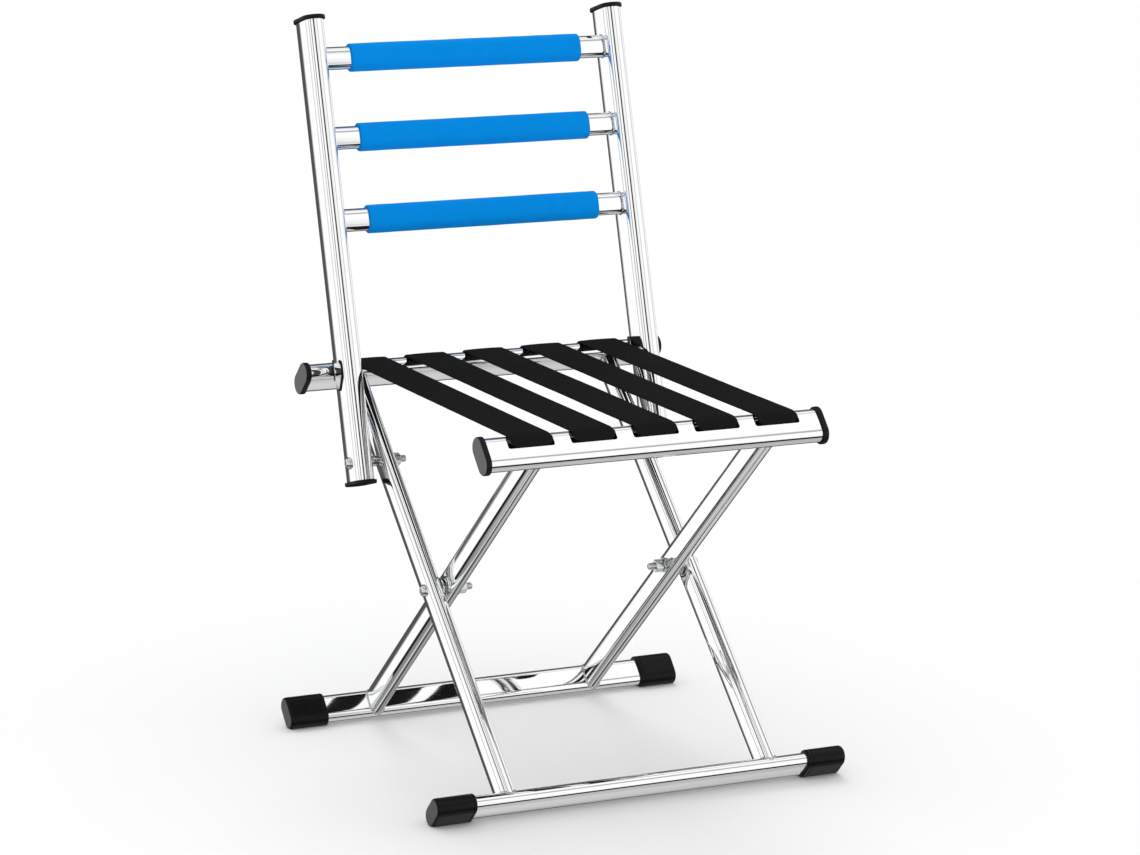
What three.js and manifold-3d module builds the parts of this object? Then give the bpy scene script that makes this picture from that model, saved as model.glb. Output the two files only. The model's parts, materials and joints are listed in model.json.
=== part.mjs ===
// Folding stool with a backrest. Two crossed frames of flat-oval chromed tube turn on a pair of
// bolts, five webbing straps span the two seat rails, and a ladder backrest with three foam-covered
// bars turns on bolts through the outer legs. Millimetres, +Z up, the sitter faces -Y.
import * as THREE from 'three';
import { mergeVertices } from 'three/addons/utils/BufferGeometryUtils.js';
import Module from 'manifold-3d';

const wasm = await Module();
wasm.setup();

// ---- driving dimensions -------------------------------------------------------------------
const GAP = 0.3;                    // clearance left between neighbouring pieces
const WALL = 1.2;                   // wall of every tube
const ARC_STEPS = 10;               // facets per half-round

const LEG_TILT = 47.2;              // degrees from vertical, both pairs of legs
const FOOT_HEIGHT = 12.4;           // centre of the foot rails above the floor
const FOOT_ARM = 211;               // leg pivot to foot rail centre
const SEAT_ARM = 227;               // leg pivot to seat rail centre
const LEG = { long: 24, thin: 13 };
const INNER_LEG_X = 107;            // centre of each inner leg from the middle plane
const OUTER_LEG_X = 122;

const SEAT_RAIL = { long: 30, thin: 15 };
const FOOT_RAIL = { long: 25, thin: 12.5 };
const FRONT_SEAT_HALF = 157.5;      // half lengths to the outer faces of the end pieces
const REAR_SEAT_HALF = 173.5;
const FRONT_FOOT_HALF = 191;
const REAR_FOOT_HALF = 191;

const RAIL_PLUG = { flange: 5.2, lip: 1.9, spigot: 14 };
const SLEEVE = { length: 36, wall: 2.4, end: 3 };

const BACKREST_PIVOT_DROP = 88;     // along the outer leg, below the rear seat rail centre
const BACKREST_PIVOT_OFFSET = 6;    // behind the centre line of the outer leg
const BACKREST_LEAN = 17;           // degrees behind vertical
const UPRIGHT = { long: 35, thin: 17 };
const UPRIGHT_X = 144;
const UPRIGHT_BELOW = 20;           // below and above the backrest pivot
const UPRIGHT_ABOVE = 389;
const UPRIGHT_PLUG = { flange: 3.8, lip: 2, spigot: 14 };
const BAR = { long: 20, thin: 12 };
const BAR_HEIGHTS = [352, 282, 210];
const FOAM = { wall: 2.2, length: 222 };
const STOP = { width: 8, height: 18 };

const STRAP = { width: 38, thick: 2, pitch: 56.5, count: 5, tuck: 4.2, corner: 1.4 };
const STRAP_SLOT = 1.5;             // where the webbing tucks in, from the rail's middle
const WINDOW = { width: 41.6, low: 0.2, high: 11, corner: 2, floor: 4.5 };

const BOLT = { radius: 3, hole: 3.3, head: 5.4, headHeight: 3.8, tail: 5.4 };
const NUT = { flats: 10, thick: 7 };
const NUT_WASHER = { radius: 6.5, thick: 2.4 };
const PIVOT_WASHER_RADIUS = 9.5;
const SPACER_RADIUS = 4.6;

// ---- materials ----------------------------------------------------------------------------
const chrome = new THREE.MeshStandardMaterial({ color: 0xe4e6e8, roughness: 0.08, metalness: 1 });
const zinc = new THREE.MeshStandardMaterial({ color: 0xc4c7ca, roughness: 0.3, metalness: 1 });
const plugPlastic = new THREE.MeshStandardMaterial({ color: 0x2b2b2c, roughness: 0.6, metalness: 0 });
const rubber = new THREE.MeshStandardMaterial({ color: 0x1c1c1d, roughness: 0.75, metalness: 0 });
const blueFoam = new THREE.MeshStandardMaterial({ color: 0x0084e4, roughness: 0.85, metalness: 0 });
const webbing = new THREE.MeshStandardMaterial({ color: 0x1b1b1c, roughness: 0.9, metalness: 0 });

// ---- directions and stations in the side plane ----------------------------------------------
const sideways = new THREE.Vector3(1, 0, 0);

// A line leaning back by the given angle: "up" runs along it, "across" is square to it.
function leaning(degrees) {
  const a = THREE.MathUtils.degToRad(degrees);
  return {
    up: new THREE.Vector3(0, Math.sin(a), Math.cos(a)),
    across: new THREE.Vector3(0, Math.cos(a), -Math.sin(a)),
  };
}

const outer = leaning(LEG_TILT);
const inner = leaning(-LEG_TILT);
const back = leaning(BACKREST_LEAN);
const crossing = new THREE.Vector3(0, 0, FOOT_HEIGHT + FOOT_ARM * outer.up.z);

function along(start, direction, distance) {
  return start.clone().addScaledVector(direction, distance);
}

const rearSeat = along(crossing, outer.up, SEAT_ARM);
const frontSeat = along(crossing, inner.up, SEAT_ARM);
const frontFoot = along(crossing, outer.up, -FOOT_ARM);
const rearFoot = along(crossing, inner.up, -FOOT_ARM);
const backPivot = along(rearSeat, outer.up, -BACKREST_PIVOT_DROP);
backPivot.addScaledVector(outer.across, BACKREST_PIVOT_OFFSET);

// ---- shape helpers ------------------------------------------------------------------------
function ovalPoints({ long, thin }, grow = 0) {
  const radius = thin / 2 + grow;
  const half = (long - thin) / 2;
  const points = [];
  for (const end of [1, -1]) {
    for (let i = 0; i <= ARC_STEPS; i += 1) {
      const a = (i / ARC_STEPS - 0.5) * Math.PI;
      points.push(new THREE.Vector2(end * (half + radius * Math.cos(a)), end * radius * Math.sin(a)));
    }
  }
  return points;
}

function roundPoints(radius, sides, turn = 0) {
  const points = [];
  for (let i = 0; i < sides; i += 1) {
    const a = ((i + turn) / sides) * 2 * Math.PI;
    points.push(new THREE.Vector2(radius * Math.cos(a), radius * Math.sin(a)));
  }
  return points;
}

function roundedRect(width, height, radius) {
  const steps = 2;
  const x = width / 2 - radius;
  const y = height / 2 - radius;
  const points = [];
  [[x, y], [-x, y], [-x, -y], [x, -y]].forEach(([cx, cy], quarter) => {
    for (let i = 0; i <= steps; i += 1) {
      const a = (quarter + i / steps) * Math.PI / 2;
      points.push(new THREE.Vector2(cx + radius * Math.cos(a), cy + radius * Math.sin(a)));
    }
  });
  return points;
}

// Prism of an outline, with an optional hole right through, from z = 0 to the given length.
function prism(outline, length, hole = null) {
  const shape = new THREE.Shape(outline);
  if (hole) {
    shape.holes.push(new THREE.Path(hole));
  }
  return new THREE.ExtrudeGeometry(shape, { depth: length, steps: 1, bevelEnabled: false });
}

// Stand a geometry's +Z along "axis" and its +X along "lead", with its origin at "at".
function placed(geometry, at, axis, lead) {
  const third = new THREE.Vector3().crossVectors(axis, lead);
  const basis = new THREE.Matrix4().makeBasis(lead, third, axis).setPosition(at);
  return geometry.applyMatrix4(basis);
}

function solid(geometry) {
  const bare = geometry.clone();
  bare.deleteAttribute('normal');
  bare.deleteAttribute('uv');
  const merged = mergeVertices(bare, 1e-4);
  return new wasm.Manifold(new wasm.Mesh({
    numProp: 3,
    vertProperties: Float32Array.from(merged.attributes.position.array),
    triVerts: Uint32Array.from(merged.index.array),
  }));
}

function meshed(manifold) {
  const out = manifold.getMesh();
  const geometry = new THREE.BufferGeometry();
  geometry.setAttribute('position', new THREE.BufferAttribute(out.vertProperties, 3));
  geometry.setIndex(new THREE.BufferAttribute(out.triVerts, 1));
  const faceted = geometry.toNonIndexed();
  faceted.computeVertexNormals();
  return faceted;
}

function cut(geometry, tools) {
  let left = solid(geometry);
  for (const tool of tools) {
    left = left.subtract(solid(tool));
  }
  return meshed(left);
}

const group = new THREE.Group();

function add(name, geometry, material) {
  const mesh = new THREE.Mesh(geometry, material);
  mesh.name = name;
  group.add(mesh);
}

// Round drill along X through a point, long enough for any leg or upright.
function drill(at, x) {
  const reach = 40;
  const start = new THREE.Vector3(x - reach / 2, at.y, at.z);
  return placed(prism(roundPoints(BOLT.hole, 20), reach), start, sideways, outer.across);
}

// Tube lying along X, centred on the middle plane.
function crossTube(section, half, at, lead, cutters = []) {
  const start = new THREE.Vector3(-half, at.y, at.z);
  const geometry = prism(ovalPoints(section), 2 * half, ovalPoints(section, -WALL));
  return cut(placed(geometry, start, sideways, lead), cutters);
}

// ---- seat and foot rails --------------------------------------------------------------------
// One window per strap through the wall that faces away from the legs, a little wider than the
// webbing, from its tuck line up to the rail's crest.
function strapWindows(rail, line) {
  const side = line.across.clone().multiplyScalar(Math.sign(-rail.y * line.across.y));
  const floor = along(rail, side, (WINDOW.low + WINDOW.high) / 2);
  floor.addScaledVector(line.up, WINDOW.floor);
  const outline = roundedRect(WINDOW.width, WINDOW.high - WINDOW.low, WINDOW.corner);
  const windows = [];
  for (let i = 0; i < STRAP.count; i += 1) {
    const x = (i - (STRAP.count - 1) / 2) * STRAP.pitch;
    const start = new THREE.Vector3(x, floor.y, floor.z);
    windows.push(placed(prism(outline, SEAT_RAIL.thin), start, line.up, sideways));
  }
  return windows;
}

function seatRail(name, at, line, half) {
  const cutters = strapWindows(at, line);
  const tubeHalf = half - RAIL_PLUG.flange - GAP;
  add(name, crossTube(SEAT_RAIL, tubeHalf, at, line.across, cutters), chrome);
}

seatRail('rear_seat_rail', rearSeat, outer, REAR_SEAT_HALF);
seatRail('front_seat_rail', frontSeat, inner, FRONT_SEAT_HALF);

const frontFootTube = FRONT_FOOT_HALF - SLEEVE.end - GAP;
const rearFootTube = REAR_FOOT_HALF - SLEEVE.end - GAP;
add('front_foot_rail', crossTube(FOOT_RAIL, frontFootTube, frontFoot, outer.across), chrome);
add('rear_foot_rail', crossTube(FOOT_RAIL, rearFootTube, rearFoot, inner.across), chrome);

// ---- legs: coped over both rails and drilled for their bolts --------------------------------
function leg(name, x, line, seat, foot, holes) {
  const length = SEAT_ARM + FOOT_ARM;
  const start = new THREE.Vector3(x, foot.y, foot.z);
  const tube = prism(ovalPoints(LEG), length, ovalPoints(LEG, -WALL));
  const cutters = holes.map((at) => drill(at, x));
  for (const [rail, section] of [[seat, SEAT_RAIL], [foot, FOOT_RAIL]]) {
    const cope = prism(ovalPoints(section, GAP), 2 * LEG.long);
    const from = new THREE.Vector3(x - LEG.long, rail.y, rail.z);
    cutters.push(placed(cope, from, sideways, line.across));
  }
  add(name, cut(placed(tube, start, line.up, line.across), cutters), chrome);
}

const SIDES = [['left', -1], ['right', 1]];
for (const [side, sign] of SIDES) {
  leg(`outer_leg_${side}`, sign * OUTER_LEG_X, outer, rearSeat, frontFoot, [crossing, backPivot]);
  leg(`inner_leg_${side}`, sign * INNER_LEG_X, inner, frontSeat, rearFoot, [crossing]);
}

// ---- end pieces -----------------------------------------------------------------------------
// A push-in plug: a flange over the tube's end and a spigot inside it, pointing along "axis".
function plug(section, { flange, lip, spigot }, at, axis, lead) {
  const head = placed(prism(ovalPoints(section, lip), flange), at, axis, lead);
  const root = along(at, axis, -spigot);
  const stem = placed(prism(ovalPoints(section, -WALL - GAP), spigot + 1), root, axis, lead);
  return meshed(solid(head).add(solid(stem)));
}

function railPlugs(prefix, at, line, half) {
  for (const [side, sign] of SIDES) {
    const axis = new THREE.Vector3(sign, 0, 0);
    const base = new THREE.Vector3(sign * (half - RAIL_PLUG.flange), at.y, at.z);
    add(`${prefix}_${side}`, plug(SEAT_RAIL, RAIL_PLUG, base, axis, line.across), plugPlastic);
  }
}

railPlugs('rear_rail_plug', rearSeat, outer, REAR_SEAT_HALF);
railPlugs('front_rail_plug', frontSeat, inner, FRONT_SEAT_HALF);

// Foot sleeves are closed at the outer end and have a narrow flat sole on the floor.
const floorBlock = new THREE.BoxGeometry(1000, 1000, 40).translate(0, 0, -20);
function footSleeves(prefix, at, line, half) {
  for (const [side, sign] of SIDES) {
    const axis = new THREE.Vector3(-sign, 0, 0);
    const end = new THREE.Vector3(sign * half, at.y, at.z);
    const body = prism(ovalPoints(FOOT_RAIL, SLEEVE.wall), SLEEVE.length);
    const bore = prism(ovalPoints(FOOT_RAIL, GAP), SLEEVE.length);
    const boreStart = along(end, axis, SLEEVE.end);
    const tools = [placed(bore, boreStart, axis, line.across), floorBlock];
    add(`${prefix}_${side}`, cut(placed(body, end, axis, line.across), tools), rubber);
  }
}

footSleeves('front_foot_sleeve', frontFoot, outer, FRONT_FOOT_HALF);
footSleeves('rear_foot_sleeve', rearFoot, inner, REAR_FOOT_HALF);

// ---- bolts, nuts, washers and spacers -------------------------------------------------------
// Bolt along X with a domed head at "outside" and its end past "inside"; sign is the side.
function bolt(name, at, sign, outside, inside) {
  const length = outside - inside + NUT_WASHER.thick + NUT.thick + 3 * GAP + BOLT.tail;
  const profile = [
    new THREE.Vector2(0, -length),
    new THREE.Vector2(BOLT.radius - 0.6, -length),
    new THREE.Vector2(BOLT.radius, 0.6 - length),
    new THREE.Vector2(BOLT.radius, GAP),
    new THREE.Vector2(BOLT.head, GAP),
    new THREE.Vector2(BOLT.head, BOLT.headHeight * 0.4),
    new THREE.Vector2(BOLT.head * 0.8, BOLT.headHeight * 0.8),
    new THREE.Vector2(BOLT.head * 0.4, BOLT.headHeight),
    new THREE.Vector2(0, BOLT.headHeight),
  ];
  const geometry = new THREE.LatheGeometry(profile, 20);
  geometry.rotateZ(-sign * Math.PI / 2);
  geometry.translate(sign * outside, at.y, at.z);
  add(name, geometry, zinc);
}

// Flat ring or hexagon between two stations along X, clear of the bolt.
function ring(name, outline, at, sign, from, to, material) {
  const start = new THREE.Vector3(sign * from, at.y, at.z);
  const axis = new THREE.Vector3(sign, 0, 0);
  const geometry = prism(outline, to - from, roundPoints(BOLT.hole, 20));
  add(name, placed(geometry, start, axis, back.across), material);
}

// Thick washer and nut on the face at "inside".
const hexagon = roundPoints(NUT.flats / 2 / Math.cos(Math.PI / 6), 6, 0.5);
function nutAndWasher(prefix, side, sign, at, inside) {
  const washer = roundPoints(NUT_WASHER.radius, 20);
  const washerTo = inside - GAP;
  const nutTo = washerTo - NUT_WASHER.thick - GAP;
  ring(`${prefix}_nut_washer_${side}`, washer, at, sign, washerTo - NUT_WASHER.thick, washerTo, zinc);
  ring(`${prefix}_nut_${side}`, hexagon, at, sign, nutTo - NUT.thick, nutTo, zinc);
}

const innerLegInside = INNER_LEG_X - LEG.thin / 2;
const innerLegOutside = INNER_LEG_X + LEG.thin / 2;
const outerLegInside = OUTER_LEG_X - LEG.thin / 2;
const outerLegOutside = OUTER_LEG_X + LEG.thin / 2;
const uprightInside = UPRIGHT_X - UPRIGHT.thin / 2;
const uprightOutside = UPRIGHT_X + UPRIGHT.thin / 2;

for (const [side, sign] of SIDES) {
  const washer = roundPoints(PIVOT_WASHER_RADIUS, 28);
  const spacer = roundPoints(SPACER_RADIUS, 20);
  bolt(`pivot_bolt_${side}`, crossing, sign, outerLegOutside, innerLegInside);
  nutAndWasher('pivot', side, sign, crossing, innerLegInside);
  ring(`pivot_washer_${side}`, washer, crossing, sign, innerLegOutside + GAP, outerLegInside - GAP, zinc);
  bolt(`backrest_bolt_${side}`, backPivot, sign, uprightOutside, outerLegInside);
  nutAndWasher('backrest', side, sign, backPivot, outerLegInside);
  ring(`backrest_spacer_${side}`, spacer, backPivot, sign, outerLegOutside + GAP, uprightInside - GAP, zinc);
}

// ---- backrest ---------------------------------------------------------------------------------
for (const [side, sign] of SIDES) {
  const x = sign * UPRIGHT_X;
  const pivot = new THREE.Vector3(x, backPivot.y, backPivot.z);
  const low = UPRIGHT_BELOW - UPRIGHT_PLUG.flange;
  const high = UPRIGHT_ABOVE - UPRIGHT_PLUG.flange;
  const tube = prism(ovalPoints(UPRIGHT), low + high - 2 * GAP, ovalPoints(UPRIGHT, -WALL));
  const start = along(pivot, back.up, GAP - low);
  const body = cut(placed(tube, start, back.up, back.across), [drill(backPivot, x)]);
  add(`backrest_upright_${side}`, body, chrome);

  const down = back.up.clone().negate();
  const top = plug(UPRIGHT, UPRIGHT_PLUG, along(pivot, back.up, high), back.up, back.across);
  const bottomSpigot = { ...UPRIGHT_PLUG, spigot: 8 };
  const bottom = plug(UPRIGHT, bottomSpigot, along(pivot, back.up, -low), down, back.across);
  add(`upright_top_plug_${side}`, top, plugPlastic);
  add(`upright_bottom_plug_${side}`, bottom, plugPlastic);

  // Rubber stop on the back of the upright, level with the rear seat rail it rests on.
  const toRail = rearSeat.clone().sub(backPivot);
  const railReach = (SEAT_RAIL.long - SEAT_RAIL.thin) / 2 * Math.abs(outer.across.dot(back.across));
  const stopEnd = toRail.dot(back.across) - railReach - SEAT_RAIL.thin / 2 - GAP;
  const stopStart = (UPRIGHT.long - UPRIGHT.thin) / 2;
  const railNose = along(toRail, outer.across, -(SEAT_RAIL.long - SEAT_RAIL.thin) / 2);
  const height = railNose.dot(back.up);
  const block = new THREE.BoxGeometry(STOP.width, STOP.height, stopEnd - stopStart);
  const middle = along(pivot, back.up, height);
  middle.addScaledVector(back.across, (stopStart + stopEnd) / 2);
  placed(block, middle, back.across, sideways);
  const saddle = prism(ovalPoints(UPRIGHT, GAP), 2 * STOP.height);
  const saddleStart = along(pivot, back.up, height - STOP.height);
  add(`backrest_stop_${side}`, cut(block, [placed(saddle, saddleStart, back.up, back.across)]), rubber);
}

BAR_HEIGHTS.forEach((height, i) => {
  const at = along(backPivot, back.up, height);
  const foamStart = new THREE.Vector3(-FOAM.length / 2, at.y, at.z);
  const foam = prism(ovalPoints(BAR, GAP + FOAM.wall), FOAM.length, ovalPoints(BAR, GAP));
  add(`backrest_bar_${i + 1}`, crossTube(BAR, uprightInside - GAP, at, back.up), chrome);
  add(`backrest_sleeve_${i + 1}`, placed(foam, foamStart, sideways, back.up), blueFoam);
});

// ---- seat straps ------------------------------------------------------------------------------
// Middle line of the webbing over one rail, from the rail's crest to its tucked end.
function strapEnd() {
  const crest = along(rearSeat, outer.across, -(SEAT_RAIL.long - SEAT_RAIL.thin) / 2);
  const radius = SEAT_RAIL.thin / 2 + GAP + STRAP.thick / 2;
  const tilt = THREE.MathUtils.degToRad(LEG_TILT);
  const points = [];
  for (let i = 0; i <= ARC_STEPS; i += 1) {
    const a = tilt * i / ARC_STEPS;
    points.push(new THREE.Vector2(crest.y + radius * Math.sin(a), crest.z + radius * Math.cos(a)));
  }
  // round the corner into the slot
  const flat = new THREE.Vector2(outer.across.y, outer.across.z);
  const inward = new THREE.Vector2(-outer.up.y, -outer.up.z);
  const run = (SEAT_RAIL.long - SEAT_RAIL.thin) / 2 - STRAP_SLOT - STRAP.corner;
  const centre = points[points.length - 1].clone().addScaledVector(flat, run);
  centre.addScaledVector(inward, STRAP.corner);
  const cornerSteps = 5;
  for (let i = 0; i <= cornerSteps; i += 1) {
    const a = Math.PI / 2 * i / cornerSteps;
    const corner = centre.clone().addScaledVector(flat, STRAP.corner * Math.sin(a));
    points.push(corner.addScaledVector(inward, -STRAP.corner * Math.cos(a)));
  }
  points.push(points[points.length - 1].clone().addScaledVector(inward, STRAP.tuck));
  return points;
}

function strapOutline() {
  const rear = strapEnd();
  const front = rear.map((p) => new THREE.Vector2(-p.x, p.y)).reverse();
  const line = [...front, ...rear];
  const top = [];
  const under = [];
  line.forEach((p, i) => {
    const before = line[Math.max(i - 1, 0)];
    const after = line[Math.min(i + 1, line.length - 1)];
    const run = after.clone().sub(before).normalize();
    const normal = new THREE.Vector2(-run.y, run.x).multiplyScalar(STRAP.thick / 2);
    top.push(p.clone().add(normal));
    under.push(p.clone().sub(normal));
  });
  return [...under, ...top.reverse()];
}

for (let i = 0; i < STRAP.count; i += 1) {
  const x = (i - (STRAP.count - 1) / 2) * STRAP.pitch;
  const start = new THREE.Vector3(x - STRAP.width / 2, 0, 0);
  const lead = new THREE.Vector3(0, 1, 0);
  add(`seat_strap_${i + 1}`, placed(prism(strapOutline(), STRAP.width), start, sideways, lead), webbing);
}

// ---- stand the object on the floor, centred front to back -------------------------------------
const extent = new THREE.Box3().setFromObject(group);
const middleY = (extent.min.y + extent.max.y) / 2;
for (const mesh of group.children) {
  mesh.geometry.translate(0, -middleY, 0);
}

export default group;
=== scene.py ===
"""Folding stool with a backrest: chromed flat-oval tubes, webbing seat, foam-covered bars."""

import json
from math import cos, pi, radians, sin, sqrt

import bpy
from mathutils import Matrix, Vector, noise


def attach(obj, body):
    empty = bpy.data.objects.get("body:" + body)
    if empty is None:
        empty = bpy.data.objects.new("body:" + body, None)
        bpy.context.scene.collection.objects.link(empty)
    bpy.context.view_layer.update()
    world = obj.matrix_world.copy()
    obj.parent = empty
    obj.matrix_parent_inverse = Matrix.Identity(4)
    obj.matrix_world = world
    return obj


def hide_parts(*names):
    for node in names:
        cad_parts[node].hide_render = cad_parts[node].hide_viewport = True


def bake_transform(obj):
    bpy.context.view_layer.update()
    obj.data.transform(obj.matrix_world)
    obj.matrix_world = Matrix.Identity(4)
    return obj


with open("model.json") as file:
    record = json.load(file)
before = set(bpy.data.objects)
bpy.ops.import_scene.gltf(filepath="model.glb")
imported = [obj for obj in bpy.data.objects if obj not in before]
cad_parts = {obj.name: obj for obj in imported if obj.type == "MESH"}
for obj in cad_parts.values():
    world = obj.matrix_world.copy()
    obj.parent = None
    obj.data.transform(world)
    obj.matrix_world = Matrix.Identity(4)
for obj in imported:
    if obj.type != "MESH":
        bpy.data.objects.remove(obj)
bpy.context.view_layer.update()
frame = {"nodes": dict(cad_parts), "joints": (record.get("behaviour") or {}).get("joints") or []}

# ---- sizes, in metres ------------------------------------------------------------------------
MM = 0.001
SEAT_ARM = 227 * MM
FOOT_ARM = 211 * MM
LEG_TILT = 47.2
BACKREST_LEAN = 17.0
LEG_CROWN = 0.32 * MM               # how far the flats of the tubes bulge
RAIL_CROWN = 0.2 * MM
UPRIGHT_CROWN = 0.3 * MM
LEG = (24 * MM, 13 * MM)            # sections are (long side, thin side)
SEAT_RAIL = (30 * MM, 15 * MM)
FOOT_RAIL = (25 * MM, 12.5 * MM)
UPRIGHT = (35 * MM, 17 * MM)
BAR = (20 * MM, 12 * MM)
WALL = 1.2 * MM
INNER_LEG_X = 107 * MM
OUTER_LEG_X = 122 * MM
UPRIGHT_X = 144 * MM
HALF = {
    "rear_seat": 173.5 * MM,
    "front_seat": 157.5 * MM,
    "front_foot": 191 * MM,
    "rear_foot": 191 * MM,
}
RAIL_FLANGE = 5.2 * MM
RAIL_LIP = 1.9 * MM
SLEEVE_LENGTH = 36 * MM
SLEEVE_WALL = 2.4 * MM
FOOT_RAIL_INSET = 3.2 * MM          # the foot rail stops this far inside its sleeve's closed end
UPRIGHT_BELOW = 20 * MM
UPRIGHT_ABOVE = 389 * MM
UPRIGHT_FLANGE = 3.8 * MM
UPRIGHT_LIP = 2 * MM
BAR_HEIGHTS = (352 * MM, 282 * MM, 210 * MM)
FOAM_WALL = 2.5 * MM
FOAM_LENGTH = 222 * MM
FOAM_ROUND = 1.3 * MM               # radius of the foam's end edges
STRAP_WIDTH = 38 * MM
STRAP_THICK = 2 * MM
STRAP_PITCH = 56.5 * MM
STRAP_COUNT = 5
STRAP_GAP = 0.3 * MM
STRAP_SLOT = 1.5 * MM               # where the webbing tucks in, from the rail's middle
STRAP_CORNER = 1.4 * MM
STRAP_TUCK = 4.2 * MM
STRAP_ROUND = 2.5 * MM              # radius of the webbing's lower corners
WINDOW_WIDTH = 41.6 * MM            # opening in the rail under the end of each strap
WINDOW_FROM = 0.2 * MM              # its edges along the flat, from the rail's middle
WINDOW_TO = 11 * MM
WINDOW_CORNER = 2 * MM
WINDOW_FLOOR = 4.5 * MM             # how far above the rail's middle plane it starts
BOLT_RADIUS = 3 * MM
NUT_FLATS = 10 * MM
NUT_THICK = 7 * MM
NUT_WASHER = (6.5 * MM, 2.4 * MM)   # radius and thickness
PIVOT_WASHER_RADIUS = 9.5 * MM
SPACER_RADIUS = 4.6 * MM
GAP = 0.3 * MM
STACK_GAP = 0.2 * MM                # clearance between the pieces stacked on a bolt
BOLT_TAIL = 5.4 * MM
LEG_WELD_RADIUS = 0.85 * MM
BAR_WELD_RADIUS = 0.75 * MM
SHARP_ANGLE = 32

SIDES = (("left", -1), ("right", 1))
X = Vector((1, 0, 0))


def leaning(angle):
    """(up, across) of a line that leans back by this many degrees."""
    a = radians(angle)
    return Vector((0, sin(a), cos(a))), Vector((0, cos(a), -sin(a)))


OUTER = leaning(LEG_TILT)
INNER = leaning(-LEG_TILT)
BACK = leaning(BACKREST_LEAN)
joint_at = {j["name"]: Vector(j["pos_m"]) for j in frame["joints"]}
crossing = joint_at["seat_fold"]
back_pivot = joint_at["backrest_fold"]
rear_seat = crossing + OUTER[0] * SEAT_ARM
front_seat = crossing + INNER[0] * SEAT_ARM
front_foot = crossing - OUTER[0] * FOOT_ARM
rear_foot = crossing - INNER[0] * FOOT_ARM


# ---- materials -------------------------------------------------------------------------------
def material(name, colour, roughness, metallic=0.0, **sockets):
    m = bpy.data.materials.new(name)
    m.use_nodes = True
    shader = m.node_tree.nodes["Principled BSDF"]
    shader.inputs["Base Color"].default_value = (*colour, 1)
    shader.inputs["Roughness"].default_value = roughness
    shader.inputs["Metallic"].default_value = metallic
    for key, value in sockets.items():
        shader.inputs[key.replace("_", " ")].default_value = value
    return m


def node(m, kind, **settings):
    n = m.node_tree.nodes.new(kind)
    for key, value in settings.items():
        if hasattr(n, key):
            setattr(n, key, value)
        else:
            n.inputs[key.replace("_", " ")].default_value = value
    return n


def link(m, source, target):
    m.node_tree.links.new(source, target)


def surface_noise(m, scale, detail=3.0):
    where = node(m, "ShaderNodeTexCoord")
    texture = node(m, "ShaderNodeTexNoise", Scale=scale, Detail=detail)
    link(m, where.outputs["Object"], texture.inputs["Vector"])
    return texture.outputs["Fac"]


def bump(m, height, strength, distance, below=None):
    b = node(m, "ShaderNodeBump", Strength=strength, Distance=distance)
    link(m, height, b.inputs["Height"])
    if below is not None:
        link(m, below, b.inputs["Normal"])
    link(m, b.outputs["Normal"], m.node_tree.nodes["Principled BSDF"].inputs["Normal"])
    return b.outputs["Normal"]


def spread(m, factor, low, high, socket):
    """The factor from 0 to 1, mapped from low to high, on a shader socket."""
    r = node(m, "ShaderNodeMapRange", To_Min=low, To_Max=high)
    link(m, factor, r.inputs["Value"])
    link(m, r.outputs["Result"], m.node_tree.nodes["Principled BSDF"].inputs[socket])


def tint(m, factor, dark, light):
    """Base colour from dark to light over the factor's middle range."""
    ramp = node(m, "ShaderNodeValToRGB")
    ramp.color_ramp.elements[0].position = 0.3
    ramp.color_ramp.elements[0].color = (*dark, 1)
    ramp.color_ramp.elements[1].position = 0.7
    ramp.color_ramp.elements[1].color = (*light, 1)
    link(m, factor, ramp.inputs["Fac"])
    link(m, ramp.outputs["Color"], m.node_tree.nodes["Principled BSDF"].inputs["Base Color"])


def chrome_material():
    m = material("chrome", (0.95, 0.955, 0.96), 0.04, 1.0)
    spread(m, surface_noise(m, 60, 4), 0.025, 0.055, "Roughness")
    bump(m, surface_noise(m, 30, 2), 0.03, 0.3 * MM)
    return m


def weld_material():
    m = material("weld", (0.7, 0.72, 0.74), 0.22, 1.0)
    tint(m, surface_noise(m, 500, 3), (0.5, 0.52, 0.56), (0.85, 0.86, 0.87))
    bump(m, surface_noise(m, 900, 2), 0.25, 0.25 * MM)
    return m


def zinc_material():
    m = material("zinc", (0.78, 0.79, 0.80), 0.2, 1.0)
    spread(m, surface_noise(m, 600, 4), 0.12, 0.28, "Roughness")
    bump(m, surface_noise(m, 900, 3), 0.12, 0.1 * MM)
    return m


def plastic_material(name, dark, light, roughness, gloss=0.5):
    m = material(name, light, roughness, Specular_IOR_Level=gloss)
    tint(m, surface_noise(m, 260, 4), dark, light)
    bump(m, surface_noise(m, 1800, 3), 0.2, 0.1 * MM)
    return m


def foam_material():
    m = material("blue_foam", (0.0, 0.262, 0.775), 0.8, Specular_IOR_Level=0.05)
    tint(m, surface_noise(m, 90, 3), (0.0, 0.255, 0.76), (0.0, 0.268, 0.79))
    pores = node(m, "ShaderNodeTexVoronoi", Scale=1500.0)
    where = node(m, "ShaderNodeTexCoord")
    link(m, where.outputs["Object"], pores.inputs["Vector"])
    bump(m, pores.outputs["Distance"], 0.15, 0.1 * MM)
    return m


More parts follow.
